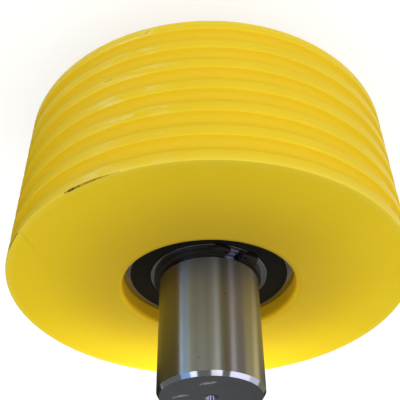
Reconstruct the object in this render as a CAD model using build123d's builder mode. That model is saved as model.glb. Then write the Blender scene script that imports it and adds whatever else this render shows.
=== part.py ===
from build123d import *
from math import cos, radians, sin
import os

os.makedirs("parts", exist_ok=True)

# Six-groove wire rope sheave of cast nylon, turning on two sealed ball bearings on a plain shaft.
# Sizes are in millimetres. The shaft lies along Z, and the middle of the wheel is the origin.

# Rope grooves, semicircular, with flat lands between them
rope_radius = 6.0
rope_play = 0.4
groove_count = 6
land_width = 9.0
end_land_width = 9.1
land_edge_radius = 1.0

# Wheel
wheel_radius = 160.0
rim_edge_radius = 0.8
bore_edge_radius = 6.0
bearing_recess = 14.5
wheel_shoulder_height = 5.5
seat_corner_radius = 1.0

# Shaft
shaft_radius = 40.0
shaft_overhang = 87.0
end_chamfer_length = 3.4
end_chamfer_depth = 2.1
centre_mouth_radius = 5.3
centre_pilot_radius = 2.5
centre_pilot_depth = 12.0
centre_cone_angle = 60.0

# Rings and balls of each bearing
ball_radius = 9.525
ball_count = 10
ring_wall = 5.475
ring_shoulder_height = 4.725
ring_corner_radius = 2.0
raceway_conformity = 1.03
raceway_play = 0.04

# Seals of each bearing
seal_inset = 0.3
seal_thickness = 1.4
seal_seat_step = 4.0
seal_bead_depth = 0.8
seal_bead_height = 0.7
seal_rim_gap = 0.25
seal_web_recess = 0.45
seal_rim_width = 2.0
seal_lip_width = 2.4
seal_land_step = 2.6
seal_lip_gap = 0.3
seal_back_gap = 0.6

# Pressed cage of each bearing, two halves riveted between the balls
cage_thickness = 1.2
cage_ball_play = 0.1
cage_side_gap = 1.0
cage_seal_gap = 0.475
rivet_radius = 1.4
rivet_head_radius = 2.5
rivet_head_height = 0.8

# Retaining rings in their shaft grooves
ring_groove_depth = 1.75
ring_groove_width = 6.5
retainer_thickness = 4.0
retainer_back_width = 7.4
retainer_front_width = 3.2
retainer_gap = 11.0
lug_reach = 8.6
lug_width = 12.5
lug_corner_radius = 3.0
plier_hole_radius = 1.5
plier_hole_inset = 3.4
retainer_azimuth = {"upper": 240.5, "lower": 60.5}

# Sleeve that keeps the two inner rings apart
sleeve_play = 0.2
sleeve_wall = 5.5

# Wheel sizes that follow from the grooves
groove_radius = rope_radius + rope_play
groove_pitch = 2 * groove_radius + land_width
wheel_width = (groove_count - 1) * groove_pitch + 2 * groove_radius + 2 * end_land_width

# Bearing sizes that follow from the shaft, the balls and the rings
pitch_radius = shaft_radius + ring_wall + ball_radius
bearing_radius = pitch_radius + ball_radius + ring_wall
bearing_width = 2 * (ball_radius + cage_ball_play + cage_thickness + cage_seal_gap + seal_thickness + seal_inset)
raceway_radius = raceway_conformity * ball_radius
inner_shoulder_radius = pitch_radius - ball_radius + ring_shoulder_height
outer_shoulder_radius = pitch_radius + ball_radius - ring_shoulder_height
seal_seat_radius = outer_shoulder_radius + seal_seat_step
seal_land_radius = inner_shoulder_radius - seal_land_step

# Heights along the shaft, measured from the middle of the wheel
bearing_face_height = wheel_width / 2 - bearing_recess
bearing_centre_height = bearing_face_height - bearing_width / 2
bearing_back_height = bearing_face_height - bearing_width
shaft_end_height = wheel_width / 2 + shaft_overhang


def write_piece(piece, name):
    """Label a finished piece and write it under the same name."""
    piece.part.label = name
    export_step(piece.part, f"parts/{name}.step")


# Wheel: one turned section, with a bearing seat at each side of a narrower bore
with BuildPart() as sheave_wheel:
    with BuildSketch(Plane.XZ) as wheel_section:
        with BuildLine():
            Polyline(
                (bearing_radius - wheel_shoulder_height, -bearing_back_height),
                (bearing_radius - wheel_shoulder_height, bearing_back_height),
                (bearing_radius, bearing_back_height),
                (bearing_radius, wheel_width / 2),
                (wheel_radius, wheel_width / 2),
                (wheel_radius, -wheel_width / 2),
                (bearing_radius, -wheel_width / 2),
                (bearing_radius, -bearing_back_height),
                close=True,
            )
        make_face()
        with GridLocations(0, groove_pitch, 1, groove_count):
            with Locations((wheel_radius, 0)):
                Circle(groove_radius, mode=Mode.SUBTRACT)
        corners = wheel_section.vertices()
        rim_corners = corners.group_by(Axis.X)[-1].sort_by(Axis.Y)
        fillet([rim_corners[0], rim_corners[-1]], rim_edge_radius)
        fillet(rim_corners[1:-1], land_edge_radius)
        bore_corners = corners.group_by(Axis.X)[1].sort_by(Axis.Y)
        fillet([bore_corners[0], bore_corners[-1]], bore_edge_radius)
        fillet(bore_corners[1:-1], seat_corner_radius)
    revolve(axis=Axis.Z)
write_piece(sheave_wheel, "sheave_wheel")

# Shaft, with a chamfer and a lathe centre at each end and a groove outside each bearing
with BuildPart() as shaft:
    with BuildSketch(Plane.XZ):
        with BuildLine():
            Polyline(
                (0, 0),
                (0, shaft_end_height),
                (shaft_radius - end_chamfer_depth, shaft_end_height),
                (shaft_radius, shaft_end_height - end_chamfer_length),
                (shaft_radius, bearing_face_height + ring_groove_width),
                (shaft_radius - ring_groove_depth, bearing_face_height + ring_groove_width),
                (shaft_radius - ring_groove_depth, bearing_face_height),
                (shaft_radius, bearing_face_height),
                (shaft_radius, 0),
                close=True,
            )
        make_face()
        mirror(about=Plane.XZ)
    revolve(axis=Axis.Z)
    for facing in (1, -1):
        with Locations(Plane(origin=(0, 0, facing * shaft_end_height), z_dir=(0, 0, facing))):
            CounterSinkHole(centre_pilot_radius, centre_mouth_radius, centre_pilot_depth, centre_cone_angle)
write_piece(shaft, "shaft")

# Distance sleeve, between the two inner rings
with BuildPart() as distance_sleeve:
    with BuildSketch(Plane.XY.offset(-bearing_back_height)):
        Circle(shaft_radius + sleeve_play + sleeve_wall)
        Circle(shaft_radius + sleeve_play, mode=Mode.SUBTRACT)
    extrude(amount=2 * bearing_back_height)
write_piece(distance_sleeve, "distance_sleeve")


def build_outer_ring(section):
    """Outer ring: a raceway between two shoulders, and a seal seat with an undercut at each side."""
    seat_depth = seal_inset + seal_thickness
    ring_width = bearing_radius - outer_shoulder_radius
    with BuildPart() as ring:
        with BuildSketch(section) as profile:
            with Locations((outer_shoulder_radius + ring_width / 2, 0)):
                Rectangle(ring_width, bearing_width)
            fillet(profile.vertices().group_by(Axis.X)[-1], ring_corner_radius)
            with Locations((pitch_radius + ball_radius + raceway_play - raceway_radius, 0)):
                Circle(raceway_radius, mode=Mode.SUBTRACT)
            with Locations((outer_shoulder_radius, bearing_width / 2)):
                Rectangle(seal_seat_step, seat_depth, align=(Align.MIN, Align.MAX), mode=Mode.SUBTRACT)
            with Locations((outer_shoulder_radius, bearing_width / 2 - seat_depth)):
                Rectangle(seal_seat_step + seal_bead_depth, seal_bead_height,
                          align=(Align.MIN, Align.MIN), mode=Mode.SUBTRACT)
            with Locations((outer_shoulder_radius, -bearing_width / 2)):
                Rectangle(seal_seat_step, seat_depth, align=(Align.MIN, Align.MIN), mode=Mode.SUBTRACT)
            with Locations((outer_shoulder_radius, seat_depth - bearing_width / 2)):
                Rectangle(seal_seat_step + seal_bead_depth, seal_bead_height,
                          align=(Align.MIN, Align.MAX), mode=Mode.SUBTRACT)
        revolve(axis=Axis.Z)
    return ring


def build_inner_ring(section):
    """Inner ring: a raceway between two shoulders, stepped down at each side where a seal lip runs."""
    land_depth = seal_inset + seal_thickness + seal_back_gap
    ring_width = inner_shoulder_radius - shaft_radius
    with BuildPart() as ring:
        with BuildSketch(section) as profile:
            with Locations((shaft_radius + ring_width / 2, 0)):
                Rectangle(ring_width, bearing_width)
            fillet(profile.vertices().group_by(Axis.X)[0], ring_corner_radius)
            with Locations((pitch_radius - ball_radius - raceway_play + raceway_radius, 0)):
                Circle(raceway_radius, mode=Mode.SUBTRACT)
            with Locations((inner_shoulder_radius, bearing_width / 2)):
                Rectangle(seal_land_step, land_depth, align=(Align.MAX, Align.MAX), mode=Mode.SUBTRACT)
            with Locations((inner_shoulder_radius, -bearing_width / 2)):
                Rectangle(seal_land_step, land_depth, align=(Align.MAX, Align.MIN), mode=Mode.SUBTRACT)
        revolve(axis=Axis.Z)
    return ring


def build_seal(section, outward):
    """Lip seal: bead in the outer ring's undercut, thin web, and a lip just off the inner ring."""
    front = bearing_width / 2 - seal_inset
    back = front - seal_thickness
    web = front - seal_web_recess
    rim_radius = seal_seat_radius - seal_rim_gap
    bead_radius = seal_seat_radius + seal_bead_depth
    lip_radius = seal_land_radius + seal_lip_gap
    with BuildPart() as seal:
        with BuildSketch(section):
            with BuildLine():
                Polyline(
                    (lip_radius, outward * back),
                    (lip_radius, outward * web),
                    (lip_radius + seal_web_recess, outward * front),
                    (lip_radius + seal_lip_width - seal_web_recess, outward * front),
                    (lip_radius + seal_lip_width, outward * web),
                    (rim_radius - seal_rim_width - seal_web_recess, outward * web),
                    (rim_radius - seal_rim_width, outward * front),
                    (rim_radius, outward * front),
                    (rim_radius, outward * (back + seal_bead_height)),
                    (bead_radius, outward * (back + seal_bead_height)),
                    (bead_radius, outward * back),
                    close=True,
                )
            make_face()
        revolve(axis=Axis.Z)
    return seal


def build_cage_half(centre_plane, side):
    """Cage half: a flat ribbon between the rings' shoulders, arched over each ball."""
    ribbon_inner = inner_shoulder_radius + cage_side_gap
    ribbon_outer = outer_shoulder_radius - cage_side_gap
    ribbon_width = ribbon_outer - ribbon_inner
    pocket_radius = ball_radius + cage_ball_play
    dome_radius = pocket_radius + cage_thickness
    with BuildPart(centre_plane) as half:
        with BuildSketch(centre_plane):
            Circle(ribbon_outer)
        extrude(amount=side * cage_thickness)
        with PolarLocations(pitch_radius, ball_count):
            Cylinder(dome_radius, 2 * ribbon_width, rotation=(0, 90, 0))
        with PolarLocations(pitch_radius, ball_count):
            Cylinder(pocket_radius, 3 * ribbon_width, rotation=(0, 90, 0), mode=Mode.SUBTRACT)
        with PolarLocations(pitch_radius, ball_count, start_angle=180 / ball_count):
            Cylinder(rivet_radius, 4 * cage_thickness, mode=Mode.SUBTRACT)
        with BuildSketch(centre_plane):
            Circle(ribbon_outer)
            Circle(ribbon_inner, mode=Mode.SUBTRACT)
        extrude(amount=side * 2 * dome_radius, mode=Mode.INTERSECT)
    return half


def build_rivets(centre_plane):
    """Rivets: one between each two balls, through both halves of the cage, with a head at each side."""
    with BuildPart() as rivet:
        Cylinder(rivet_radius, 2 * cage_thickness)
        for facing in (1, -1):
            with BuildSketch(Plane(origin=(0, 0, facing * cage_thickness), z_dir=(0, 0, facing))):
                Circle(rivet_head_radius)
            extrude(amount=rivet_head_height)
    with BuildPart(centre_plane) as rivets:
        with PolarLocations(pitch_radius, ball_count, start_angle=180 / ball_count):
            add(rivet.part)
    return rivets


def build_balls(centre_plane):
    """Balls, evenly spaced on the pitch circle."""
    with BuildPart(centre_plane) as balls:
        with PolarLocations(pitch_radius, ball_count):
            Sphere(ball_radius)
    return balls


def build_retainer(face_plane):
    """Retaining ring: widest behind, narrowing towards two lugs with holes for the pliers."""
    seat_radius = shaft_radius - ring_groove_depth
    outline_radius = seat_radius + (retainer_back_width + retainer_front_width) / 2
    outline_shift = (retainer_back_width - retainer_front_width) / 2
    lug_middle = (retainer_gap + lug_width) / 2
    plier_hole_spread = retainer_gap / 2 + plier_hole_inset
    with BuildPart() as retainer:
        with BuildSketch(face_plane):
            with Locations((-outline_shift, 0)):
                Circle(outline_radius)
            for across in (1, -1):
                with Locations((seat_radius, across * lug_middle)):
                    RectangleRounded(2 * lug_reach, lug_width, lug_corner_radius)
            Circle(seat_radius, mode=Mode.SUBTRACT)
            with Locations((seat_radius, 0)):
                Rectangle(4 * lug_reach, retainer_gap, mode=Mode.SUBTRACT)
            with Locations((seat_radius + lug_reach / 2, plier_hole_spread),
                           (seat_radius + lug_reach / 2, -plier_hole_spread)):
                Circle(plier_hole_radius, mode=Mode.SUBTRACT)
        extrude(amount=retainer_thickness)
    return retainer


# The two ends of the shaft carry the same pieces, mirrored
for end, facing in (("upper", 1), ("lower", -1)):
    bearing_section = Plane(
        origin=(0, 0, facing * bearing_centre_height), x_dir=(1, 0, 0), z_dir=(0, -facing, 0)
    )
    bearing_plane = Plane.XY.offset(facing * bearing_centre_height)
    write_piece(build_outer_ring(bearing_section), f"{end}_bearing_outer_ring")
    write_piece(build_inner_ring(bearing_section), f"{end}_bearing_inner_ring")
    write_piece(build_seal(bearing_section, 1), f"{end}_bearing_outside_seal")
    write_piece(build_seal(bearing_section, -1), f"{end}_bearing_inside_seal")
    write_piece(build_cage_half(bearing_plane, facing), f"{end}_bearing_cage_outside_half")
    write_piece(build_cage_half(bearing_plane, -facing), f"{end}_bearing_cage_inside_half")
    write_piece(build_rivets(bearing_plane), f"{end}_bearing_cage_rivets")
    write_piece(build_balls(bearing_plane), f"{end}_bearing_balls")
    azimuth = radians(retainer_azimuth[end])
    retainer_plane = Plane(
        origin=(0, 0, facing * bearing_face_height),
        x_dir=(cos(azimuth), sin(azimuth), 0),
        z_dir=(0, 0, facing),
    )
    write_piece(build_retainer(retainer_plane), f"{end}_retaining_ring")

print("wheel", 2 * wheel_radius, "x", wheel_width, "bearing", 2 * bearing_radius, "x", bearing_width)
print("shaft", 2 * shaft_radius, "x", 2 * shaft_end_height)
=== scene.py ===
# %% [markdown]
# # A wire rope sheave of cast nylon
#
# This lesson dresses a rope sheave: a yellow nylon wheel with six rope grooves, which turns on two sealed ball
# bearings on a steel shaft. Nearly every piece of it came off a lathe, so one tree of Geometry Nodes turns the
# section of each piece round the shaft. The solids that the sheave is built from are loaded first, and every
# piece made here goes where its solid is.

# %% Load the solids
import math

import bmesh
import bpy
from mathutils import Matrix, Vector


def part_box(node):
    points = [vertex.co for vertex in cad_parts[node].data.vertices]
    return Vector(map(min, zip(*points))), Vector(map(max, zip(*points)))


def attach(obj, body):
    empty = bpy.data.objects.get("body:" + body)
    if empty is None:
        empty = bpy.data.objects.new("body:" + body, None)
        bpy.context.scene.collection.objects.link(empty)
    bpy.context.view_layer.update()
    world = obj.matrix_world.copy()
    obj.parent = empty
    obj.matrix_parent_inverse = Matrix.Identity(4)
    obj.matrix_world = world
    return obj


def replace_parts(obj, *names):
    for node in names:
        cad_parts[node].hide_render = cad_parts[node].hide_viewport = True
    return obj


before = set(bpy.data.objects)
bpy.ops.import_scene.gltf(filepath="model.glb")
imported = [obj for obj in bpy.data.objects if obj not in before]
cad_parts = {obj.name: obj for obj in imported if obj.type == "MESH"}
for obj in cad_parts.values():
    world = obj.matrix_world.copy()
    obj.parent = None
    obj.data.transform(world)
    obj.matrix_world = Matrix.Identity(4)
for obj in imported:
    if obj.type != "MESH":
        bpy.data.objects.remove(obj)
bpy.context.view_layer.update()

# %% [markdown]
# ## Sizes
#
# The sizes are those of the real pieces, in metres. The ones that several pieces share are written here, and
# each of the others stands in the cell that first needs it. The shaft lies along Z and the wheel's middle is
# the origin. The wheel's radius could be a plain number too, but it is read from its solid, whose rim is made
# of flat facets, so that the turned wheel doesn't stand out of the solid's box.

# %% Shared sizes
mm = 0.001
wheel_low, wheel_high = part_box("sheave_wheel")
wheel_radius = min(160 * mm, wheel_high.x, wheel_high.y, -wheel_low.x, -wheel_low.y)
wheel_half = 70 * mm
bore_rounding = 6.0 * mm

bearing_radius = 70 * mm
bearing_half = 13 * mm
bearing_face = 55.5 * mm

shaft_radius = 40 * mm
shaft_half = 157 * mm
print("wheel", round(2 * wheel_radius / mm, 1), "mm across, shaft", round(2 * shaft_half / mm), "mm long")

# %% [markdown]
# ## Sections
#
# A section is a closed outline of points, each a radius and a height. Two helpers write the parts of an outline
# that a turner would call a radius: `arc` gives points on a circle, and `rounded` takes corners that each have
# a rounding of their own and puts a small arc at each. A Bevel modifier could round the corners afterwards, but
# it gives all of them one size. Beside every arc stands a holding point on the straight, so that smooth shading
# stays on the arc and the flat beside it stays flat.

# %% Outline helpers
def arc(centre, radius, start, end, steps):
    """Points on an arc round a centre, from one angle to another in degrees."""
    angles = [math.radians(start + (end - start) * step / steps) for step in range(steps + 1)]
    return [(centre[0] + radius * math.cos(a), centre[1] + radius * math.sin(a)) for a in angles]


def rounded(corners, steps=5):
    """Points of a closed outline whose corners (x, y, rounding) are rounded by arcs with holding points."""
    points = []
    for index, (x, y, rounding) in enumerate(corners):
        here = Vector((x, y))
        if rounding == 0:
            points.append((x, y))
            continue
        before = (Vector(corners[index - 1][:2]) - here).normalized()
        after = (Vector(corners[(index + 1) % len(corners)][:2]) - here).normalized()
        half_turn = before.angle(after) / 2
        reach = rounding / math.tan(half_turn)
        centre = here + (before + after).normalized() * rounding / math.sin(half_turn)
        first, last = here + before * reach - centre, here + after * reach - centre
        hold = 0.2 * rounding
        points.append(tuple(here + before * (reach + hold)))
        for step in range(steps + 1):
            spoke = first.slerp(last, step / steps)
            points.append(tuple(centre + spoke * rounding))
        points.append(tuple(here + after * (reach + hold)))
    return points


def mirrored(points):
    """The same points below the middle, in the opposite order, so that an outline goes on with them."""
    return [(x, -y) for x, y in reversed(points)]


square = [(0, 0, mm), (9 * mm, 0, mm), (9 * mm, 9 * mm, mm), (0, 9 * mm, mm)]
print("a square with 1 mm corners has", len(rounded(square)), "points")

# %% [markdown]
# ## One function that adds a node
#
# Every tree below is written with one small function, `add_node`. Words with a small first letter are the
# node's settings, words with a capital are its inputs, and values without a word fill the inputs in the order
# in which the node shows them. A value that is a node, or an output of one, is linked, and any other value is
# set. Its inner half, `fill`, does the same for a node that is there already, such as a new material's shader.

# %% Add a node
def fill(node, *in_order, **named):
    """Give a node its settings and its inputs, in order or by name, and link the values that are nodes."""
    for name, value in named.items():
        if name[0].islower():
            setattr(node, name, value)
    shown = [socket for socket in node.inputs if socket.enabled]
    inputs = list(zip(shown, in_order))
    for name, value in named.items():
        if name[0].isupper():
            inputs.append((node.inputs[name.replace("_", " ")], value))
    for socket, value in inputs:
        if isinstance(value, bpy.types.Node):
            value = next(output for output in value.outputs if output.enabled)
        if isinstance(value, bpy.types.NodeSocket):
            node.id_data.links.new(value, socket)
        else:
            socket.default_value = value
    return node


def add_node(tree, kind, *in_order, **named):
    """Add a node to a tree, with its settings and inputs as `fill` takes them."""
    return fill(tree.nodes.new(kind), *in_order, **named)


print("add_node is ready")

# %% [markdown]
# ## A lathe in Geometry Nodes
#
# The section could be spun with a Screw modifier or with bmesh. Geometry Nodes do it with less to go wrong: the
# outline becomes a closed curve, and Curve to Mesh carries it round a circle, so there is no seam to weld. That
# circle can't have a radius of nothing, because it would have no direction to turn the section by. It is a
# millimetre, and the section is written a millimetre nearer to the axis. The number of steps is an input,
# because the wheel needs more than a seal does, and the material is an input too.

# %% The lathe tree
carrier_radius = 1 * mm
usual_steps = 192


def lathe_tree():
    """Geometry Nodes that turn a section's outline round the Z axis."""
    tree = bpy.data.node_groups.new("lathe", "GeometryNodeTree")
    tree.interface.new_socket("Geometry", in_out="INPUT", socket_type="NodeSocketGeometry")
    steps = tree.interface.new_socket("Steps", in_out="INPUT", socket_type="NodeSocketInt")
    steps.default_value = usual_steps
    tree.interface.new_socket("Material", in_out="INPUT", socket_type="NodeSocketMaterial")
    tree.interface.new_socket("Geometry", in_out="OUTPUT", socket_type="NodeSocketGeometry")
    given = tree.nodes.new("NodeGroupInput").outputs
    outline = add_node(tree, "GeometryNodeMeshToCurve", Mesh=given["Geometry"])
    circle = add_node(tree, "GeometryNodeCurvePrimitiveCircle", Resolution=given["Steps"],
                      Radius=carrier_radius)
    turned = add_node(tree, "GeometryNodeCurveToMesh", Curve=circle, Profile_Curve=outline)
    real = add_node(tree, "GeometryNodeRealizeInstances", Geometry=turned)
    smooth = add_node(tree, "GeometryNodeSetShadeSmooth", Geometry=real)
    finished = add_node(tree, "GeometryNodeSetMaterial", Geometry=smooth, Material=given["Material"])
    add_node(tree, "NodeGroupOutput", Geometry=finished)
    return tree


lathe = lathe_tree()
print("the lathe has", len(lathe.nodes), "nodes")

# %% [markdown]
# ## Turning a piece
#
# A modifier's input is set by its socket's identifier. Once the section is turned, the result is kept as a
# plain mesh and the modifier goes. Where a section touches the axis, its steps meet in one point and are merged
# there. A turned shape can come out with its faces inwards, which the sign of its volume shows. Edges sharper
# than 35 degrees, such as the rims of the seal seats, stay sharp.

# %% Turn a piece
merge_distance = 0.001 * mm
sharp_angle = math.radians(35)


def set_input(modifier, name, value):
    """Set a modifier's input by the identifier of the socket with that name."""
    sockets = modifier.node_group.interface.items_tree
    found = [s for s in sockets if s.item_type == "SOCKET" and s.in_out == "INPUT" and s.name == name]
    modifier[found[0].identifier] = value


def evaluated_mesh(piece):
    """A plain mesh of what a piece looks like with its modifiers."""
    bpy.context.view_layer.update()
    graph = bpy.context.evaluated_depsgraph_get()
    return bpy.data.meshes.new_from_object(piece.evaluated_get(graph))


def face_outwards(mesh):
    """Close a turned mesh on its axis, turn its faces outwards, and mark the edges that stay sharp."""
    solid = bmesh.new()
    solid.from_mesh(mesh)
    bmesh.ops.remove_doubles(solid, verts=solid.verts, dist=merge_distance)
    bmesh.ops.dissolve_degenerate(solid, edges=solid.edges, dist=merge_distance)
    if solid.calc_volume(signed=True) < 0:
        bmesh.ops.reverse_faces(solid, faces=solid.faces)
    solid.to_mesh(mesh)
    solid.free()
    mesh.set_sharp_from_angle(angle=sharp_angle)


def turn(name, outline, material, steps=usual_steps):
    """Turn a section's outline into a finished piece."""
    count = len(outline)
    section = bpy.data.meshes.new(name)
    points = [(radius - carrier_radius, -height, 0) for radius, height in outline]
    section.from_pydata(points, [(index, (index + 1) % count) for index in range(count)], [])
    piece = bpy.data.objects.new(name, section)
    bpy.context.scene.collection.objects.link(piece)
    modifier = piece.modifiers.new("lathe", "NODES")
    modifier.node_group = lathe
    set_input(modifier, "Steps", steps)
    set_input(modifier, "Material", material)
    turned = evaluated_mesh(piece)
    piece.modifiers.clear()
    piece.data = turned
    bpy.data.meshes.remove(section)
    face_outwards(turned)
    print(name, len(turned.polygons), "faces")
    return piece


print("edges over", round(math.degrees(sharp_angle)), "degrees stay sharp")

# %% [markdown]
# ## Colours and shared finish nodes
#
# Colours are written as sRGB hex values, as a colour picker gives them, and one function turns them linear.
# Every finish reads Object coordinates, which stay with the piece when it spins. A lathe leaves its marks as
# rings, so two groups of nodes come up again and again: the distance from the axis, and the angle round it.

# %% Colour and coordinates
def hex_colour(text):
    """Linear colour of an sRGB hex value."""
    channels = [int(text[i:i + 2], 16) / 255 for i in (1, 3, 5)]
    return tuple(c / 12.92 if c <= 0.04045 else ((c + 0.055) / 1.055) ** 2.4 for c in channels) + (1.0,)


def new_finish(name):
    """An empty material with its Principled shader, and the sockets of Object coordinates and their parts."""
    material = bpy.data.materials.new(name)
    material.use_nodes = True
    tree = material.node_tree
    shader = tree.nodes["Principled BSDF"]
    place = add_node(tree, "ShaderNodeTexCoord").outputs["Object"]
    parts = add_node(tree, "ShaderNodeSeparateXYZ", place).outputs
    return material, tree, shader, place, parts


def distance_from_axis(tree, parts):
    """Distance of a point from the shaft's axis, in metres."""
    squares = [add_node(tree, "ShaderNodeMath", part, 2.0, operation="POWER") for part in (parts[0], parts[1])]
    total = add_node(tree, "ShaderNodeMath", *squares, operation="ADD")
    return add_node(tree, "ShaderNodeMath", total, operation="SQRT")


def angle_round_axis(tree, parts):
    """Angle of a point round the shaft's axis, in radians, 0 along +X."""
    return add_node(tree, "ShaderNodeMath", parts[1], parts[0], operation="ARCTAN2")


def band(tree, value, low, high, soft):
    """1 where a value lies between two limits, fading to 0 over the soft width outside them."""
    rise = add_node(tree, "ShaderNodeMapRange", Value=value, From_Min=low - soft, From_Max=low,
                    interpolation_type="SMOOTHSTEP")
    fall = add_node(tree, "ShaderNodeMapRange", Value=value, From_Min=high + soft, From_Max=high,
                    interpolation_type="SMOOTHSTEP")
    return add_node(tree, "ShaderNodeMath", rise, fall, operation="MULTIPLY")


print("a middle grey of #808080 is", round(hex_colour("#808080")[0], 3), "in linear light")

# %% [markdown]
# ## Cast nylon
#
# The wheel is cast nylon, coloured through with a yellow pigment and turned to size. To the eye that is a
# strong yellow with a soft, waxy gloss and clouds that hardly show. The clouds are two noises, one as wide as a
# hand and one as wide as three fingers, which mix three yellows that are close together.

# %% Nylon's yellow
fine_cloud, broad_cloud = 45.5 * mm, 143 * mm
nylon, tree, shader, place, parts = new_finish("cast nylon, turned")
clouds = add_node(tree, "ShaderNodeTexNoise", Vector=place, Scale=1 / fine_cloud, Detail=3.0, Roughness=0.5)
broad = add_node(tree, "ShaderNodeTexNoise", Vector=place, Scale=1 / broad_cloud, Detail=2.0, Roughness=0.5)
cloudy = add_node(tree, "ShaderNodeMix", clouds, hex_colour("#F2D428"), hex_colour("#EAC924"), data_type="RGBA")
darker = add_node(tree, "ShaderNodeMath", broad, 0.4, operation="MULTIPLY")
body = add_node(tree, "ShaderNodeMix", darker, cloudy, hex_colour("#E2BE20"), data_type="RGBA")
print("cast nylon so far:", len(tree.nodes), "nodes")

# %% [markdown]
# The yellow isn't the same everywhere, and these tints are painted light and shade. The sides were faced and
# never touched by a rope; towards the bore they get a painted shade, where the shaft keeps light from them. In
# the grooves a deeper, warmer yellow is painted shade and bounced light, and in the bore a warmer, brighter
# yellow is painted light. Each of these is a tint that fades in with the distance from the axis or with the
# height. A mask could be painted by hand instead, but these follow the sizes above and fit when they change.

# %% Painted shade on the sides and in the grooves, painted light in the bore
radius = distance_from_axis(tree, parts)
height = add_node(tree, "ShaderNodeMath", parts[2], operation="ABSOLUTE")
on_side = add_node(tree, "ShaderNodeMapRange", Value=height, From_Min=wheel_half - bore_rounding,
                   From_Max=wheel_half, interpolation_type="SMOOTHSTEP")
near_bore = add_node(tree, "ShaderNodeMapRange", Value=radius, From_Min=158 * mm, From_Max=bearing_radius,
                     interpolation_type="SMOOTHSTEP")
painted_side_shade = add_node(tree, "ShaderNodeMath", on_side, near_bore, operation="MULTIPLY")
below_land = add_node(tree, "ShaderNodeMapRange", Value=radius, From_Min=wheel_radius - 0.3 * mm,
                      From_Max=wheel_radius - 4 * mm, interpolation_type="SMOOTHSTEP")
off_side = add_node(tree, "ShaderNodeMath", 1.0, on_side, operation="SUBTRACT")
painted_groove_shade = add_node(tree, "ShaderNodeMath", below_land, off_side, operation="MULTIPLY")
painted_bore_light = add_node(tree, "ShaderNodeMapRange", Value=radius, From_Min=bearing_radius + 3 * mm,
                   From_Max=bearing_radius, interpolation_type="SMOOTHSTEP")
# The three tints are painted shade towards the bore, painted shade in the grooves and painted light in the bore.
for amount, colour in ((painted_side_shade, "#CAA926"), (painted_groove_shade, "#EAC922"), (painted_bore_light, "#FCC81C")):
    body = add_node(tree, "ShaderNodeMix", amount, body, hex_colour(colour), data_type="RGBA")
print("cast nylon with its tints:", len(tree.nodes), "nodes")

# %% [markdown]
# The outer corner of the wheel is painted pale, which is a painted sheen on its rounded edge, and in one sector
# the lands between the grooves get pale patches, which are painted highlights on scuffed lands. The corner is
# where radius plus height is greatest, so that sum alone finds it. For the pale patches the rim is unrolled
# flat, with the arc length one way and the height the other. A noise is stretched along the rim, because that is
# the way a rope or a floor drags.

# %% Painted sheen on the corner and painted highlights on the scuffed lands
angle = angle_round_axis(tree, parts)
arc_length = add_node(tree, "ShaderNodeMath", angle, wheel_radius, operation="MULTIPLY")
along_cut = add_node(tree, "ShaderNodeMath", radius, parts[2], operation="ADD")
unrolled = add_node(tree, "ShaderNodeCombineXYZ", X=arc_length, Y=along_cut)

corner_place = wheel_radius + wheel_half
corner = add_node(tree, "ShaderNodeMath", radius, height, operation="ADD")
# Painted sheen: the rounded outer corner is painted paler.
painted_corner_sheen = add_node(tree, "ShaderNodeMapRange", Value=corner, From_Min=corner_place - 7 * mm,
                       From_Max=corner_place - 0.8 * mm, To_Max=0.4, interpolation_type="SMOOTHSTEP")
body = add_node(tree, "ShaderNodeMix", painted_corner_sheen, body, hex_colour("#EFDA50"), data_type="RGBA")

rub_grain = 6 * mm
on_land = add_node(tree, "ShaderNodeMapRange", Value=radius, From_Min=wheel_radius - 0.8 * mm,
                   From_Max=wheel_radius - 0.2 * mm)
# Painted highlights on scuffed lands, in the sector where a lamp's highlight falls on them.
sector = band(tree, angle, math.radians(-76), math.radians(-64), math.radians(9))
scuffed_highlight_place = add_node(tree, "ShaderNodeMath", on_land, sector, operation="MULTIPLY")
stretched = add_node(tree, "ShaderNodeVectorMath", unrolled, (0.25, 1, 1), operation="MULTIPLY")
scuffs_and_highlights = add_node(tree, "ShaderNodeTexNoise", Vector=stretched, Scale=1 / rub_grain, Detail=4.0, Roughness=0.65)
scuffs_and_highlights = add_node(tree, "ShaderNodeMath", scuffs_and_highlights, 4.0, -1.95, operation="MULTIPLY_ADD", use_clamp=True)
scuffs_and_highlights = add_node(tree, "ShaderNodeMath", scuffs_and_highlights, scuffed_highlight_place, operation="MULTIPLY")
scuffs_and_highlights = add_node(tree, "ShaderNodeMath", scuffs_and_highlights, 0.55, operation="MULTIPLY")
body = add_node(tree, "ShaderNodeMix", scuffs_and_highlights, body, hex_colour("#F6EBA0"), data_type="RGBA")
print("cast nylon, worn:", len(tree.nodes), "nodes")

# %% [markdown]
# One thin dark line runs along the edge of the near side, as a crack or a lifted sliver does, a few short nicks
# lie on the lands, and one pale mark on a land is a painted highlight on a scuff. They are too thin for
# geometry, so they are straight marks on the unrolled wheel.
# `scratch` gives one mark from its two ends and its width. The long line is a chain of marks that swells and
# tapers, and a noise makes the edges of all of them ragged.

# %% A straight mark
def scratch(tree, flat, start, end, width):
    """1 on a straight mark between two points of a flat surface, fading to 0 at its sides."""
    run = Vector(end) - Vector(start)
    offset = add_node(tree, "ShaderNodeVectorMath", flat, start, operation="SUBTRACT")
    share = add_node(tree, "ShaderNodeVectorMath", offset, run / run.length_squared, operation="DOT_PRODUCT")
    share = add_node(tree, "ShaderNodeMath", share, 1.0, operation="MULTIPLY", use_clamp=True)
    along = add_node(tree, "ShaderNodeVectorMath", run, operation="SCALE", Scale=share)
    away = add_node(tree, "ShaderNodeVectorMath", offset, along, operation="DISTANCE")
    return add_node(tree, "ShaderNodeMapRange", Value=away, From_Min=width / 2, From_Max=0.0,
                    interpolation_type="SMOOTHSTEP")


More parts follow.
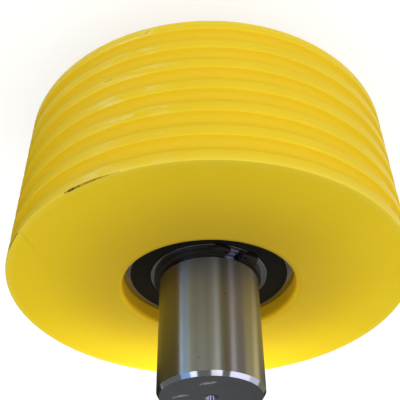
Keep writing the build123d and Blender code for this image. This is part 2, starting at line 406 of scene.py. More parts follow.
def on_wheel(azimuth, inset):
    """Point of the unrolled wheel at an azimuth in degrees and a distance from the near rim in millimetres."""
    return math.radians(azimuth) * wheel_radius, wheel_radius + wheel_half - inset * mm, 0


print("a degree of the rim is", round(on_wheel(1, 0)[0] / mm, 2), "mm long")

# %% [markdown]
# All the marks stand in one table, so that one more nick is one more line. The last column says where a mark may
# show: a nick on a land fades out at the land's edges and doesn't reach down into a groove.

# %% The dark line and the nicks
everywhere = 1.0
wheel_marks = (
    # start and end (azimuth, inset), width in mm, strength, colour, where it shows
    ((-54.3, 0.5), (-55.8, 0.6), 0.8, 0.8, "#5E3E0A", everywhere),
    ((-55.6, 0.6), (-57.2, 0.7), 1.7, 1.0, "#4A2606", everywhere),
    ((-56.8, 0.7), (-59.0, 0.7), 1.3, 1.0, "#54300A", everywhere),
    ((-58.8, 0.7), (-63.5, 0.6), 1.0, 0.9, "#64420A", everywhere),
    ((-63.3, 0.6), (-67.0, 0.4), 0.8, 0.8, "#6E4E10", everywhere),
    ((-66.8, 0.4), (-70.0, 0.3), 0.8, 0.7, "#7A5A12", everywhere),
    ((-24.9, 0.4), (-33.0, 0.4), 1.0, 0.8, "#5E3E0A", everywhere),
    ((-34.0, 1.0), (-31.5, 8.0), 1.2, 0.3, "#7A5A12", everywhere),
    ((-31.5, 8.0), (-28.0, 17.0), 1.2, 0.3, "#7A5A12", everywhere),
    ((-63.0, 93.0), (-65.0, 93.6), 1.6, 0.5, "#5E3E0A", on_land),
    ((-74.1, 133.8), (-75.0, 136.0), 1.6, 0.7, "#5E3E0A", on_land),
    # painted highlight on a scuffed land, pale like the patches of the sector above
    ((-69.5, 47.5), (-72.0, 48.5), 5.0, 0.35, "#F6EBA0", on_land),
)
tear_grain = 3 * mm
ragged = add_node(tree, "ShaderNodeTexNoise", Vector=place, Scale=1 / tear_grain, Detail=3.0, Roughness=0.6)
ragged = add_node(tree, "ShaderNodeMath", ragged, 1.2, 0.3, operation="MULTIPLY_ADD", use_clamp=True)
for start, end, width, strength, colour, where in wheel_marks:
    mark = scratch(tree, unrolled, on_wheel(*start), on_wheel(*end), width * mm)
    for factor in (ragged, where, strength):
        mark = add_node(tree, "ShaderNodeMath", mark, factor, operation="MULTIPLY")
    body = add_node(tree, "ShaderNodeMix", mark, body, hex_colour(colour), data_type="RGBA")
print(len(wheel_marks), "marks on the wheel")

# %% [markdown]
# Cast nylon lets a little light in, so its shadows are warm and its edges glow, which subsurface scattering
# gives with a depth of a few millimetres. Its index of refraction is 1.53, and its gloss is low because the
# turning tool left fine rings. The rings run round the rim and round the sides, so they are a one-dimensional
# noise of radius plus height: on a side only the radius changes, and on the rim only the height does.

# %% Nylon's surface
# A finishing cut moves about 0.3 mm a turn, too fine to show here, so the rings are three times as wide.
tool_mark_spacing, tool_mark_depth = 0.9 * mm, 0.04 * mm
tool_marks = add_node(tree, "ShaderNodeTexNoise", noise_dimensions="1D", W=along_cut,
                      Scale=1 / tool_mark_spacing, Detail=3.0, Roughness=0.6)
fill(shader, Base_Color=body, Roughness=0.42, Specular_IOR_Level=0.1, IOR=1.53, Subsurface_Weight=0.2,
     Subsurface_Radius=(1.0, 0.7, 0.15), Subsurface_Scale=3 * mm,
     Normal=add_node(tree, "ShaderNodeBump", Height=tool_marks, Distance=tool_mark_depth))
print("cast nylon:", len(tree.nodes), "nodes")

# %% [markdown]
# ## Ground shaft steel
#
# The shaft is carbon steel, ground between centres. The wheel leaves very fine lines round it, and to the eye
# they spread a highlight along the shaft and keep it narrow across. That is an anisotropic metal with a tangent
# that goes round Z. The alternative, a strong bump, would sparkle and flicker at this size. A few small dark
# flecks are where the steel has begun to pit: each cell of a Voronoi pattern may hold one, and four cells in
# ten do.

# %% Ground shaft steel
# Grinding lines are about 0.05 mm apart and don't show singly, so they are drawn seven times as wide.
grinding_spacing, grinding_depth = 0.35 * mm, 0.004 * mm
steel_patch, fleck_cell = 33.3 * mm, 9 * mm
ground_steel, tree, shader, place, parts = new_finish("ground shaft steel")
grinding = add_node(tree, "ShaderNodeTexNoise", noise_dimensions="1D", W=parts[2],
                    Scale=1 / grinding_spacing, Detail=2.0, Roughness=0.6)
patches = add_node(tree, "ShaderNodeTexNoise", Vector=place, Scale=1 / steel_patch, Detail=3.0, Roughness=0.5)
tint = add_node(tree, "ShaderNodeMix", patches, hex_colour("#A2A19D"), hex_colour("#969591"), data_type="RGBA")
cells = add_node(tree, "ShaderNodeTexVoronoi", Vector=place, Scale=1 / fleck_cell).outputs
cell_number = add_node(tree, "ShaderNodeSeparateColor", cells["Color"])
chosen = add_node(tree, "ShaderNodeMath", cell_number, 0.6, operation="GREATER_THAN")
near_middle = add_node(tree, "ShaderNodeMapRange", Value=cells["Distance"], From_Min=0.1, From_Max=0.05)
fleck = add_node(tree, "ShaderNodeMath", near_middle, chosen, operation="MULTIPLY")
fleck = add_node(tree, "ShaderNodeMath", fleck, 0.4, operation="MULTIPLY")
tint = add_node(tree, "ShaderNodeMix", fleck, tint, hex_colour("#3A342C"), data_type="RGBA")
fill(shader, Base_Color=tint, Metallic=1.0, Anisotropic=1.0, Anisotropic_Rotation=0.25,
     Roughness=add_node(tree, "ShaderNodeMapRange", Value=grinding, To_Min=0.32, To_Max=0.38),
     Tangent=add_node(tree, "ShaderNodeTangent", direction_type="RADIAL", axis="Z"),
     Normal=add_node(tree, "ShaderNodeBump", Height=grinding, Distance=grinding_depth))
print("ground steel:", len(tree.nodes), "nodes")

# %% [markdown]
# ## Other metals
#
# The other metals differ only in colour, gloss and the spacing of their rings, so one function makes them all.
# A group node would do as well, but its values would reach the shader through the group, and a function sets
# them on the shader itself. Each metal keeps a little unevenness: soft patches change its colour and its gloss
# together.

# %% Other metals
# Turned rings are about 0.2 mm apart and ground ones less, too fine to show, so all of them are drawn coarser.
metal_patch = 16.7 * mm


def ringed_metal(name, light, dark, roughness, spacing, depth):
    """A metal with turned or ground rings at a spacing, mixed from two colours by soft patches."""
    material, tree, shader, place, parts = new_finish(name)
    along_cut = add_node(tree, "ShaderNodeMath", distance_from_axis(tree, parts), parts[2], operation="ADD")
    rings = add_node(tree, "ShaderNodeTexNoise", noise_dimensions="1D", W=along_cut,
                     Scale=1 / spacing, Detail=3.0, Roughness=0.6)
    patches = add_node(tree, "ShaderNodeTexNoise", Vector=place, Scale=1 / metal_patch,
                       Detail=3.0, Roughness=0.5)
    fill(shader, Metallic=1.0,
         Base_Color=add_node(tree, "ShaderNodeMix", patches, hex_colour(light), hex_colour(dark),
                             data_type="RGBA"),
         Roughness=add_node(tree, "ShaderNodeMapRange", Value=patches, To_Min=roughness - 0.05,
                            To_Max=roughness + 0.05),
         Normal=add_node(tree, "ShaderNodeBump", Height=rings, Distance=depth))
    print(name, len(tree.nodes), "nodes")
    return material


# Turned and not ground: a dull grey with rings that a fingernail can feel.
turned_end = ringed_metal("turned shaft end", "#8E9294", "#7C8082", 0.42, 0.5 * mm, 0.03 * mm)
# A narrow groove cut by a form tool and wet with oil, shiny; its darker, bluish colour is painted shade and a
# painted lilac reflection.
shaded_groove_steel = ringed_metal("turned groove, painted shade and reflection tint", "#8E8C9C", "#787688", 0.16, 0.5 * mm, 0.01 * mm)
# A chamfer cut last with a sharp tool: the brightest steel of the shaft.
chamfer_steel = ringed_metal("turned chamfer", "#C2C4C6", "#B4B6B8", 0.1, 0.5 * mm, 0.004 * mm)
# Hardened and ground: smooth and bright, with no lines to be seen.
ring_steel = ringed_metal("ground ring steel", "#A8A8A6", "#9A9A98", 0.22, 0.3 * mm, 0.004 * mm)
# Lapped and polished: nearly a mirror.
ball_steel = ringed_metal("polished ball steel", "#C4C4C6", "#B8B8BA", 0.1, 2 * mm, 0.001 * mm)
# Pressed from cold-rolled strip: satin, and a little yellow from its oil.
cage_steel = ringed_metal("pressed cage steel", "#A6A49C", "#94928A", 0.35, 1.5 * mm, 0.01 * mm)
# Turned from tube and left as it is: an even, dull grey.
sleeve_steel = ringed_metal("turned sleeve steel", "#9A9A98", "#868684", 0.4, 0.6 * mm, 0.02 * mm)
# Spring steel, phosphated and oiled: a dark, warm grey with a satin gloss.
phosphated = ringed_metal("black phosphated spring steel", "#5A5954", "#454440", 0.46, 0.8 * mm, 0.01 * mm)

# %% [markdown]
# The shaft's near end has two pale places where something scraped it. They are the same kind of mark as on the
# wheel, seen along the shaft. A noise bends the flat coordinates first, so that the marks waver, and a second
# one with a hard contrast tears them into short strokes. They are mixed into the end's own colour and not laid
# over it as geometry, because such scrapes have no thickness.

# %% Scrapes on the shaft's end
end_scrapes = (
    # start and end in mm, seen along the shaft
    ((6.5, -23.5), (2.5, -25.5)),
    ((2.5, -25.5), (-2, -27)),
    ((27, -1), (22.5, -3.7)),
    ((22.5, -3.7), (17, -5.2)),
)
scrape_width, stroke_grain, waver, waver_grain = 4.5 * mm, 2.5 * mm, 5 * mm, 3 * mm
tree = turned_end.node_tree
shader = tree.nodes["Principled BSDF"]
tint = shader.inputs["Base Color"].links[0].from_socket
place = add_node(tree, "ShaderNodeTexCoord").outputs["Object"]
parts = add_node(tree, "ShaderNodeSeparateXYZ", place).outputs
near_end = add_node(tree, "ShaderNodeMath", parts[2], 0.0, operation="GREATER_THAN")
strokes = add_node(tree, "ShaderNodeTexNoise", Vector=place, Scale=1 / stroke_grain, Detail=4.0, Roughness=0.8)
strokes = add_node(tree, "ShaderNodeMath", strokes, 6.0, -2.0, operation="MULTIPLY_ADD", use_clamp=True)
shake = add_node(tree, "ShaderNodeTexNoise", Vector=place, Scale=1 / waver_grain, Detail=3.0).outputs["Color"]
flat = add_node(tree, "ShaderNodeCombineXYZ", X=parts[0], Y=parts[1])
flat = add_node(tree, "ShaderNodeVectorMath", shake, (waver, waver, 0), flat, operation="MULTIPLY_ADD")
flat = add_node(tree, "ShaderNodeVectorMath", flat, (waver / 2, waver / 2, 0), operation="SUBTRACT")
for start, end in end_scrapes:
    mark = scratch(tree, flat, (start[0] * mm, start[1] * mm, 0), (end[0] * mm, end[1] * mm, 0), scrape_width)
    for factor in (strokes, near_end, 0.8):
        mark = add_node(tree, "ShaderNodeMath", mark, factor, operation="MULTIPLY")
    tint = add_node(tree, "ShaderNodeMix", mark, tint, hex_colour("#FFFFFF"), data_type="RGBA")
fill(shader, Base_Color=tint)
print("turned end with its scrapes:", len(tree.nodes), "nodes")

# %% [markdown]
# ## Seal rubber
#
# The seals are nitrile rubber moulded on a steel washer. To the eye they are nearly black and a little warm,
# with a soft gloss and the fine rings of the mould that was turned to make them. Rubber has no metal in it and
# its index of refraction is about 1.5. A film of dust is mixed in, because clean black rubber looks like a
# hole.

# %% Seal rubber
mould_ring_spacing, mould_ring_depth = 0.5 * mm, 0.03 * mm
dust_patch = 22.2 * mm
rubber, tree, shader, place, parts = new_finish("nitrile seal rubber")
moulding = add_node(tree, "ShaderNodeTexNoise", noise_dimensions="1D", W=distance_from_axis(tree, parts),
                    Scale=1 / mould_ring_spacing, Detail=2.0, Roughness=0.5)
dust = add_node(tree, "ShaderNodeTexNoise", Vector=place, Scale=1 / dust_patch, Detail=4.0, Roughness=0.6)
fill(shader, IOR=1.5, Specular_IOR_Level=0.2,
     Base_Color=add_node(tree, "ShaderNodeMix", dust, hex_colour("#0E0E0B"), hex_colour("#161511"),
                         data_type="RGBA"),
     Roughness=add_node(tree, "ShaderNodeMapRange", Value=dust, To_Min=0.5, To_Max=0.62),
     Normal=add_node(tree, "ShaderNodeBump", Height=moulding, Distance=mould_ring_depth))
print("seal rubber:", len(tree.nodes), "nodes")

# %% [markdown]
# ## The wheel
#
# The wheel is one turned piece. Its outline goes up the bore, out along a side and down the rim, and on the rim
# each rope groove is a half circle whose two lips are rounded. The centre of a lip's rounding lies where it
# touches both the flat land and the groove, which is Pythagoras on the two radii. The grooves could be cut from
# a plain disc with a Boolean, but a section with the grooves in it gives clean rings of faces.

# %% Wheel
groove_count = 6
groove_radius = 6.4 * mm
groove_pitch = 21.8 * mm
land_rounding = 1.0 * mm
rim_rounding = 0.8 * mm
shoulder_radius = 64.5 * mm


def groove_outline(centre_height):
    """Points of one rope groove with its two rounded lips, from its upper lip to its lower."""
    lip_reach = math.sqrt((groove_radius + land_rounding) ** 2 - land_rounding ** 2)
    lip_angle = math.degrees(math.atan2(lip_reach, -land_rounding))
    lip_x = wheel_radius - land_rounding
    upper = arc((lip_x, centre_height + lip_reach), land_rounding, 0, lip_angle - 180, steps=5)
    floor = arc((wheel_radius, centre_height), groove_radius, lip_angle, 360 - lip_angle, steps=20)
    lower = arc((lip_x, centre_height - lip_reach), land_rounding, 180 - lip_angle, 0, steps=5)
    return upper + floor[1:-1] + lower


def wheel_outline():
    """The wheel's section: one side written out, the rim with its grooves, and the side mirrored."""
    seat_bottom = bearing_face - 2 * bearing_half
    side = rounded([
        (shoulder_radius, 0, 0),
        (shoulder_radius, seat_bottom, 0.4 * mm),
        (bearing_radius, seat_bottom, 1.0 * mm),
        (bearing_radius, wheel_half, bore_rounding),
        (wheel_radius, wheel_half, rim_rounding),
        (wheel_radius, 0, 0),
    ])[1:-1]
    rim = []
    for index in reversed(range(groove_count)):
        rim += groove_outline((index - (groove_count - 1) / 2) * groove_pitch)
    return side + rim + mirrored(side)


sheave_wheel = turn("wheel", wheel_outline(), nylon, steps=288)
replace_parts(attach(sheave_wheel, "sheave"), "sheave_wheel")

# %% [markdown]
# ## The shaft
#
# The shaft's outline starts at the bottom of the lathe centre in its upper end: a drilled pilot, a 60 degree
# cone, the flat end, a chamfer, and then the ground length, stepped in where the retaining ring sits. The flat
# ends were turned and not ground, so their faces get the duller end finish. The finishes are told apart by
# where a face lies, which is simpler than four separate pieces that would have to fit.

# %% Shaft
pilot_radius, mouth_radius = 2.5 * mm, 5.3 * mm
pilot_depth = 12 * mm
chamfer_x, chamfer_z = 2.1 * mm, 3.4 * mm
groove_floor = 38.25 * mm
ring_groove_width = 6.5 * mm


def shaft_outline():
    """The shaft's section: one end written out, and the other mirrored from it."""
    cone = (mouth_radius - pilot_radius) / math.tan(math.radians(30))
    top = rounded([
        (0, shaft_half - pilot_depth, 0),
        (pilot_radius, shaft_half - pilot_depth, 0),
        (pilot_radius, shaft_half - cone, 0),
        (mouth_radius, shaft_half, 0.25 * mm),
        (shaft_radius - chamfer_x, shaft_half, 0.2 * mm),
        (shaft_radius, shaft_half - chamfer_z, 0.4 * mm),
        (shaft_radius, bearing_face + ring_groove_width, 0.2 * mm),
        (groove_floor, bearing_face + ring_groove_width, 0.2 * mm),
        (groove_floor, bearing_face, 0.2 * mm),
        (shaft_radius, bearing_face, 0.2 * mm),
        (shaft_radius, 0, 0),
    ], steps=4)[:-1]
    return top + mirrored(top)


shaft = turn("shaft_bar", shaft_outline(), ground_steel, steps=256)
for finish in (turned_end, shaded_groove_steel, chamfer_steel):
    shaft.data.materials.append(finish)
end_slot, shaded_groove_slot, chamfer_slot = 1, 2, 3
# The centre hole and the ring groove get the darker, bluish steel, whose colour is painted shade and a painted
# reflection tint.
for face in shaft.data.polygons:
    away, up = math.hypot(face.center.x, face.center.y), abs(face.center.z)
    if up > shaft_half - pilot_depth - mm and away < shaft_radius - chamfer_x:
        face.material_index = end_slot if away > mouth_radius else shaded_groove_slot
    elif up > shaft_half - chamfer_z and away < shaft_radius - 0.05 * mm:
        face.material_index = chamfer_slot
    elif away < shaft_radius - 0.1 * mm and up < shaft_half - 20 * mm:
        face.material_index = shaded_groove_slot
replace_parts(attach(shaft, "shaft"), "shaft")

# %% [markdown]
# ## Bearing rings
#
# The two bearings are alike and mirrored, so each outline is written for a bearing at the origin and then
# raised to its place. A ring's track is a little wider than the ball that runs in it, which keeps friction low,
# and it ends at a shoulder on either side of the ball.

# %% Bearing sizes and track
bearing_centre = bearing_face - bearing_half
raceway_radius = 9.81 * mm
pitch_radius = 55 * mm
ball_radius = 9.525 * mm
ball_play = 0.04 * mm
inner_shoulder, outer_shoulder = 50.2 * mm, 59.8 * mm
seal_seat, seal_land = 63.8 * mm, 47.6 * mm
ring_rounding, edge_rounding = 2.0 * mm, 0.25 * mm


def raised(points, facing):
    """Points of a bearing's section, moved from the origin to the upper (1) or lower (-1) bearing."""
    return [(x, facing * (y + bearing_centre)) for x, y in points]


def raceway(centre_x, shoulder, outward):
    """Points of a raceway's arc between its two shoulders."""
    half = math.degrees(math.acos(abs(shoulder - centre_x) / raceway_radius))
    middle = 0 if outward else 180
    return arc((centre_x, 0), raceway_radius, middle - half, middle + half, steps=14)


print("the ball's track is", round(raceway_radius / ball_radius, 3), "times the ball's radius")

# %% [markdown]
# The outer ring's section starts with its track and goes up and round outside. The two undercuts are where the
# seals' beads snap in. Its outer corners have large roundings, so that it slides into the nylon without cutting
# it.

# %% Outer ring
def outer_ring_outline():
    """Outer ring: round outside, seal seats with undercuts, shoulders and a raceway."""
    seat, bead_top, undercut = bearing_half - 1.7 * mm, bearing_half - 1.0 * mm, seal_seat + 0.8 * mm
    track = raceway(pitch_radius + ball_radius + ball_play - raceway_radius, outer_shoulder, True)
    top = rounded([
        (outer_shoulder, 0, 0),
        (outer_shoulder, seat, 0),
        (undercut, seat, 0),
        (undercut, bead_top, 0),
        (seal_seat, bead_top, 0),
        (seal_seat, bearing_half, edge_rounding),
        (bearing_radius, bearing_half, ring_rounding),
        (bearing_radius, 0, 0),
    ])[1:-1]
    return track + top + mirrored(top)


print("the outer ring's section has", len(outer_ring_outline()), "points")

# %% [markdown]
# The inner ring is the same idea turned inside out: the bore sits on the shaft, and the ground lands at its
# sides are where the seals' lips run.

# %% Inner ring
def inner_ring_outline():
    """Inner ring: bore with rounded edges, seal lands, shoulders and a raceway."""
    land_bottom = bearing_half - 2.3 * mm
    track = raceway(pitch_radius - ball_radius - ball_play + raceway_radius, inner_shoulder, False)
    top = rounded([
        (shaft_radius, 0, 0),
        (shaft_radius, bearing_half, ring_rounding),
        (seal_land, bearing_half, edge_rounding),
        (seal_land, land_bottom, 0),
        (inner_shoulder, land_bottom, 0.2 * mm),
        (inner_shoulder, 0, 0),
    ])[1:-1]
    return top + track + mirrored(top)


print("the inner ring's section has", len(inner_ring_outline()), "points")

# %% [markdown]
# ## Seals
#
# A lip seal is a flat rubber ring with a bead that snaps into the outer ring's undercut, and a lip that runs
# over the inner ring's land. Seen from outside it is a shallow dish between two raised rims, which is what
# catches the light. The section gives both rims their own small roundings.

# %% Seal section
def seal_outline(outward):
    """Lip seal, on the side of the bearing that faces outwards (1) or the wheel's middle (-1)."""
    front = bearing_half - 0.3 * mm
    back, web = front - 1.4 * mm, front - 0.45 * mm
    shelf = back + 0.7 * mm
    lip, rim, bead = seal_land + 0.3 * mm, seal_seat - 0.25 * mm, seal_seat + 0.8 * mm
    points = rounded([
        (lip, back, 0),
        (lip, web, 0.1 * mm),
        (lip + 0.45 * mm, front, 0.15 * mm),
        (lip + 1.95 * mm, front, 0.2 * mm),
        (lip + 2.4 * mm, web, 0.2 * mm),
        (rim - 2.45 * mm, web, 0.2 * mm),
        (rim - 2.0 * mm, front, 0.2 * mm),
        (rim, front, 0.2 * mm),
        (rim, shelf, 0),
        (bead, shelf, 0),
        (bead, back, 0),
    ], steps=3)
    return [(x, outward * y) for x, y in points]


print("a seal's section has", len(seal_outline(1)), "points")

# %% [markdown]
# ## Retaining rings
#
# A retaining ring is stamped from strip, so it is a flat outline with a thickness: widest at the back, tapering
# towards two lugs with holes for the pliers. The outside of the strip is a circle that is shifted away from the
# gap, and that shift is what makes it taper.

# %% Retaining ring outline
back_radius, back_shift = groove_floor + 5.3 * mm, 2.1 * mm
lug_outer = groove_floor + 8.6 * mm
lug_near, lug_far = 5.5 * mm, 18.0 * mm
shoulder_angle = 6


def retaining_outline():
    """Outline of the ring in its own plane, with its gap along +X."""
    meet = math.degrees(math.atan2(lug_far, math.sqrt(back_radius ** 2 - lug_far ** 2)))
    start = meet + shoulder_angle
    back = arc((-back_shift, 0), back_radius, start, 360 - start, steps=90)
    inner_start = math.degrees(math.asin(lug_near / groove_floor))
    bore = arc((0, 0), groove_floor, 360 - inner_start, inner_start, steps=110)
    upper = rounded([
        (*bore[-1], 0),
        (lug_outer, lug_near, 2.0 * mm),
        (lug_outer, lug_far, 3.0 * mm),
        (*back[0], 1.5 * mm),
        (*back[1], 0),
    ])[1:-1]
    return upper + back[2:-2] + mirrored(upper) + bore[:-1]


print("the retaining ring's outline has", len(retaining_outline()), "points")

# %% [markdown]
# A 2D curve draws a stamped piece best, because it fills an outline with holes, gives it a thickness and rounds
# its edges in one step. An extruded mesh would need its holes bridged and its edges bevelled. The curve is made
# a mesh, and only then is the mesh turned and raised to its place, so that the piece itself stays at the
# origin.

# %% Retaining ring
ring_thickness = 4.0 * mm
ring_edge = 0.25 * mm
hole_x, hole_y, hole_radius = groove_floor + 4.3 * mm, lug_near + 3.4 * mm, 1.5 * mm
hole_sides = 32


def flat_ring_mesh(name):
    """Mesh of a retaining ring that lies flat at the origin, with its gap along +X."""
    flat = bpy.data.curves.new(name, "CURVE")
    flat.dimensions = "2D"
    flat.fill_mode = "BOTH"
    flat.extrude = ring_thickness / 2 - ring_edge
    flat.bevel_depth = ring_edge
    flat.bevel_resolution = 2
    flat.offset = -ring_edge
    last = 360 - 360 / hole_sides
    holes = [arc((hole_x, side * hole_y), hole_radius, 0, last, steps=hole_sides - 1) for side in (1, -1)]
    for points in (retaining_outline(), *holes):
        spline = flat.splines.new("POLY")
        spline.points.add(len(points) - 1)
        for point, (x, y) in zip(spline.points, points):
            point.co = (x, y, 0, 1)
        spline.use_cyclic_u = True
    source = bpy.data.objects.new(name + "_outline", flat)
    bpy.context.scene.collection.objects.link(source)
    mesh = evaluated_mesh(source)
    bpy.data.objects.remove(source)
    return mesh


def retaining_ring(name, facing, azimuth):
    """Retaining ring lying on the inner ring of the upper (1) or lower (-1) bearing, its gap at an azimuth."""
    mesh = flat_ring_mesh(name)
    turn_over = Matrix.Rotation(0 if facing > 0 else math.pi, 4, "X")
    lift = Matrix.Translation((0, 0, facing * (bearing_face + ring_thickness / 2)))
    mesh.transform(lift @ Matrix.Rotation(math.radians(azimuth), 4, "Z") @ turn_over)
    clean = bmesh.new()
    clean.from_mesh(mesh)
    bmesh.ops.remove_doubles(clean, verts=clean.verts, dist=merge_distance)
    bmesh.ops.recalc_face_normals(clean, faces=clean.faces)
    for face in clean.faces:
        face.smooth = True
    clean.to_mesh(mesh)
    clean.free()
    mesh.set_sharp_from_angle(angle=sharp_angle)
    mesh.materials.clear()
    mesh.materials.append(phosphated)
    piece = bpy.data.objects.new(name, mesh)
    bpy.context.scene.collection.objects.link(piece)
    print(name, len(mesh.polygons), "faces")
    return piece


print("the ring is", round(ring_thickness / mm, 1), "mm thick")

# %% [markdown]
# ## The pieces of both ends
#
# Each end has an outer and an inner ring, a seal on either side of the balls, and a retaining ring outside. The
# outer rings and the seals turn with the wheel, and the inner rings and the retaining rings stay with the
# shaft. The two retaining rings have their gaps on opposite sides, as a fitter would leave them.

# %% Make the pieces of both ends
for end, facing, azimuth in (("upper", 1, 240.5), ("lower", -1, 60.5)):
    outer = turn(f"{end}_outer_ring", raised(outer_ring_outline(), facing), ring_steel)
    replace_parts(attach(outer, "sheave"), f"{end}_bearing_outer_ring")
    inner = turn(f"{end}_inner_ring", raised(inner_ring_outline(), facing), ring_steel)
    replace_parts(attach(inner, "shaft"), f"{end}_bearing_inner_ring")
    for side, outward in (("outside", 1), ("inside", -1)):
        seal = turn(f"{end}_{side}_seal", raised(seal_outline(outward), facing), rubber)
        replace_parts(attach(seal, "sheave"), f"{end}_bearing_{side}_seal")
    retainer = retaining_ring(f"{end}_snap_ring", facing, azimuth)
    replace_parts(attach(retainer, "shaft"), f"{end}_retaining_ring")

# %% [markdown]
# ## Pieces kept from the solids
#
# The balls, the cages with their rivets and the distance sleeve are sealed inside. Their solids already have
# the right shape, so they only get their finishes.

# %% Finishes of the inner pieces
inner_finishes = {"distance_sleeve": sleeve_steel}
for end in ("upper", "lower"):
    inner_finishes[f"{end}_bearing_balls"] = ball_steel
    for cage_piece in ("cage_outside_half", "cage_inside_half", "cage_rivets"):
        inner_finishes[f"{end}_bearing_{cage_piece}"] = cage_steel
for node_name, finish in inner_finishes.items():
    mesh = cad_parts[node_name].data
    mesh.materials.clear()
    mesh.materials.append(finish)
print(len(inner_finishes), "inner pieces finished")

# %% [markdown]
# ## Floor
#
# The sheave stands on the lower end of its shaft on a pale floor. In the picture the floor has to look nearly
# white, but more light on a white floor would be thrown up into the wheel. So the floor itself is a light grey,
# and a glow is added that only the camera and mirrored rays see. The shadow of the sheave stays visible in it.

# %% Floor
def seen_directly(tree):
    """1 for rays from the camera and for those that metal or glass passes on, 0 for diffuse light."""
    rays = add_node(tree, "ShaderNodeLightPath").outputs
    passed_on = add_node(tree, "ShaderNodeMath", rays["Is Glossy Ray"], rays["Is Transmission Ray"],
                         operation="ADD")
    return add_node(tree, "ShaderNodeMath", rays["Is Camera Ray"], passed_on, operation="ADD", use_clamp=True)


floor_height, floor_reach, floor_glow = -shaft_half, 6, 0.58
signs = ((-1, -1), (1, -1), (1, 1), (-1, 1))
floor_corners = [(x * floor_reach, y * floor_reach, floor_height) for x, y in signs]
floor_mesh = bpy.data.meshes.new("floor")
floor_mesh.from_pydata(floor_corners, [], [(0, 1, 2, 3)])
floor = bpy.data.objects.new("floor", floor_mesh)
bpy.context.scene.collection.objects.link(floor)
pale = bpy.data.materials.new("pale floor")
pale.use_nodes = True
tree = pale.node_tree
tree.nodes.clear()
glow = add_node(tree, "ShaderNodeMath", seen_directly(tree), floor_glow, operation="MULTIPLY")
diffuse = add_node(tree, "ShaderNodeBsdfDiffuse", Color=hex_colour("#D8D8D6"))
emission = add_node(tree, "ShaderNodeEmission", Strength=glow)
both = add_node(tree, "ShaderNodeAddShader", diffuse, emission)
add_node(tree, "ShaderNodeOutputMaterial", Surface=both)
floor_mesh.materials.append(pale)
print("floor at", round(floor_height / mm), "mm")

# %% [markdown]
# ## World
#
# The world has three jobs, which a photographer would do with walls, a big window and a backdrop. The first is
# what mirrored rays see: a dim wall with tall pale strips, each at an azimuth and with a width in degrees,
# which fade out above. The strips are what the ground shaft, the chamfer and the rings mirror, so their places
# and colours were chosen by where the bright streaks lie on the metal.

# %% The mirrored wall
wall_level, strip_top, strip_softness, strip_fade = 0.2, 0.62, 3, 0.05
white = (1, 1, 1, 1)
wall_strips = (
    # azimuth of the middle and width in degrees, colour, level
    (-34, 22, "#86AEE0", 1.5),
    (-51, 12, "#E4ECF8", 2.2),
    (-104, 22, "#EEF4FF", 2.2),
    (-158, 44, "#DCDDF0", 2.1),
    (150, 60, "#DCDDF0", 1.3),
)
world = bpy.data.worlds.new("studio")
bpy.context.scene.world = world
world.use_nodes = True
tree = world.node_tree
direction = add_node(tree, "ShaderNodeTexCoord").outputs["Generated"]
parts = add_node(tree, "ShaderNodeSeparateXYZ", direction).outputs
azimuth = add_node(tree, "ShaderNodeMath", angle_round_axis(tree, parts), math.degrees(1), operation="MULTIPLY")
over_floor = add_node(tree, "ShaderNodeMapRange", Value=parts[2], From_Min=0.02, From_Max=0.2,
                      interpolation_type="SMOOTHSTEP")
wall = add_node(tree, "ShaderNodeMix", over_floor, white, (wall_level, wall_level, wall_level, 1),
                data_type="RGBA")
for middle, width, colour, level in wall_strips:
    strip = band(tree, azimuth, middle - width / 2, middle + width / 2, strip_softness)
    for factor in (over_floor, band(tree, parts[2], 0.0, strip_top, strip_fade)):
        strip = add_node(tree, "ShaderNodeMath", strip, factor, operation="MULTIPLY")
    strip_colour = (*(channel * level for channel in hex_colour(colour)[:3]), 1)
    wall = add_node(tree, "ShaderNodeMix", strip, wall, strip_colour, data_type="RGBA")
print(len(wall_strips), "strips on the mirrored wall")

# %% [markdown]
# The second job is to light diffuse surfaces, with a soft gradient that is brighter towards the window. The
# third is the background, which is plain white to the camera. Light Path tells the rays apart, so that none of
# the three changes the others.

# %% Soft light and background
plain_level, window_level, darkest_level = 0.42, 1.08, 0.05
window_direction = Vector((-0.25, -0.9, 0.34)).normalized()
towards = add_node(tree, "ShaderNodeVectorMath", direction, window_direction, operation="DOT_PRODUCT")
soft_light = add_node(tree, "ShaderNodeMath", towards, window_level, plain_level, operation="MULTIPLY_ADD")
soft_light = add_node(tree, "ShaderNodeMath", soft_light, darkest_level, operation="MAXIMUM")
light = add_node(tree, "ShaderNodeMix", seen_directly(tree), soft_light, wall, data_type="RGBA")
to_camera = add_node(tree, "ShaderNodeLightPath").outputs["Is Camera Ray"]
light = add_node(tree, "ShaderNodeMix", to_camera, light, white, data_type="RGBA")
fill(tree.nodes["Background"], Color=light)
print("world:", len(tree.nodes), "nodes")

# %% [markdown]
# ## Cards
#
# Polished steel looks like what stands round it, and on the real shaft that is mostly dark with a few bright
# streaks. So curved cards stand round the sheave, as a photographer would put card and foil there. Only
# mirrored rays see them, so they neither shade the sheave nor hide it. Painting the streaks on the shaft would
# be simpler, but they would look wrong from every other side.

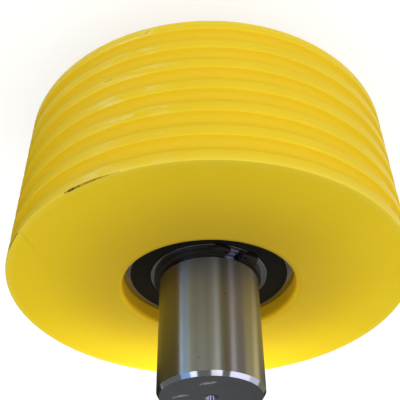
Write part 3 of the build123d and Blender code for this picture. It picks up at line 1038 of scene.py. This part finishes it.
# %% One card
def mirror_card(start, end, colour, level, distance=0.42, top=0.28):
    """A curved card between two azimuths in degrees, which only mirrored rays can see."""
    count = max(2, round((end - start) / 4))
    around = [math.radians(start + (end - start) * step / count) for step in range(count + 1)]
    corners = [(distance * math.cos(a), distance * math.sin(a), z) for a in around for z in (floor_height, top)]
    mesh = bpy.data.meshes.new("card")
    mesh.from_pydata(corners, [], [(2 * i, 2 * i + 1, 2 * i + 3, 2 * i + 2) for i in range(count)])
    paint = bpy.data.materials.new("card paint")
    paint.use_nodes = True
    tree = paint.node_tree
    tree.nodes.clear()
    light = add_node(tree, "ShaderNodeEmission", Color=hex_colour(colour), Strength=level)
    add_node(tree, "ShaderNodeOutputMaterial", Surface=light)
    mesh.materials.append(paint)
    card = bpy.data.objects.new("card", mesh)
    bpy.context.scene.collection.objects.link(card)
    card.visible_camera = card.visible_diffuse = card.visible_shadow = card.visible_transmission = False


print("a card reaches down to the floor at", round(floor_height / mm), "mm")

# %% [markdown]
# The cards go round the sheave side by side: narrow pale ones make the streaks along the shaft, and wide dark
# ones keep the metal between them dark. Two of them are lower than the rest, so that the shaft's side mirrors
# them but its end and its chamfer don't.

# %% All cards
cards = (
    # azimuths of its two ends in degrees, colour, level, and where they differ its distance and top in metres
    (-32, -30, "#EEF6FF", 4.0),
    (-30, 95, "#4A4436", 0.5, 0.23, 0.18),
    (-41, -32, "#80B4F2", 2.5),
    (-50, -41, "#CDE8EE", 1.6),
    (-66, -50, "#D8E2E8", 0.75),
    (-82, -66, "#E6F0F2", 0.95),
    (-99, -82, "#E6F0F2", 0.75),
    (-109, -99, "#F0F8FA", 1.4),
    (-131, -109, "#E0D6C8", 0.3),
    (-141, -131, "#E4E4FA", 1.5),
    (-163, -141, "#C8CCF0", 0.3),
    (-186, -163, "#F6E8B0", 0.9),
    (-202, -186, "#FFEFAE", 1.7, 0.42, 0.2),
    (-236, -202, "#E8E0B8", 0.35),
    (-265, -236, "#4A4436", 0.4),
)
for card in cards:
    mirror_card(*card)
print(len(cards), "cards stand round the sheave")

# %% [markdown]
# ## Lamps
#
# Two soft lamps join the world's light. A large one stands behind the camera and to one side, like a window,
# and gives the sheave its soft shadow. A small one hangs close above the far part of the wheel's side and
# brightens it, which the world alone can't do for one part only. Both are hidden from mirrored rays, because
# the cards and strips make the reflections.

# %% Lamps
def soft_lamp(name, place, aim, width, height, watts):
    """A rectangular lamp at a place, facing a point."""
    light = bpy.data.lights.new(name, "AREA")
    light.shape = "RECTANGLE"
    light.size, light.size_y = width, height
    light.energy = watts
    lamp = bpy.data.objects.new(name, light)
    lamp.location = place
    lamp.rotation_euler = (Vector(aim) - Vector(place)).to_track_quat("-Z", "Y").to_euler()
    lamp.visible_camera = lamp.visible_glossy = False
    bpy.context.scene.collection.objects.link(lamp)
    print(name, "of", watts, "W")


soft_lamp("front window", (-0.32, -1.03, 0.8), (0, 0, 0), 1.2, 0.8, 1.5)
soft_lamp("far side", (0.012, 0.155, 0.205), (0.012, 0.1, 0.07), 0.15, 0.06, 0.27)

# %% [markdown]
# ## Camera
#
# The camera looks down at the sheave, 59.5 degrees off the shaft's axis, and is turned upside down, as in the
# photo: the near shaft end points down in the picture. Its place, its lens and the small turns come from fitting
# the ellipses of the wheel, the bore, the bearing and the shaft. It is built from three axes, because a tracking
# constraint would put its own idea of up into the picture.

# %% Camera
camera_place = Vector((0, -0.45821, 0.33981))
face_centre = Vector((0, 0, wheel_half))
tilt, pan, roll = -0.1413, -0.0111, 0.0205
camera_data = bpy.data.cameras.new("camera")
camera_data.sensor_width = 36
camera_data.lens = 58.787
camera = bpy.data.objects.new("camera", camera_data)
bpy.context.scene.collection.objects.link(camera)
back_axis = (camera_place - face_centre).normalized()
up_axis = Vector((0, -1, 0)) - back_axis * back_axis.dot(Vector((0, -1, 0)))
up_axis.normalize()
right_axis = up_axis.cross(back_axis)
aimed = Matrix((right_axis, up_axis, back_axis)).transposed()
for small_turn, axis in ((tilt, "X"), (pan, "Y"), (roll, "Z")):
    aimed = aimed @ Matrix.Rotation(-small_turn, 3, axis)
camera.matrix_world = Matrix.Translation(camera_place) @ aimed.to_4x4()
bpy.context.scene.camera = camera
bpy.context.scene.view_settings.view_transform = "Standard"
print("camera", round((camera_place - face_centre).length, 3), "m from the face")
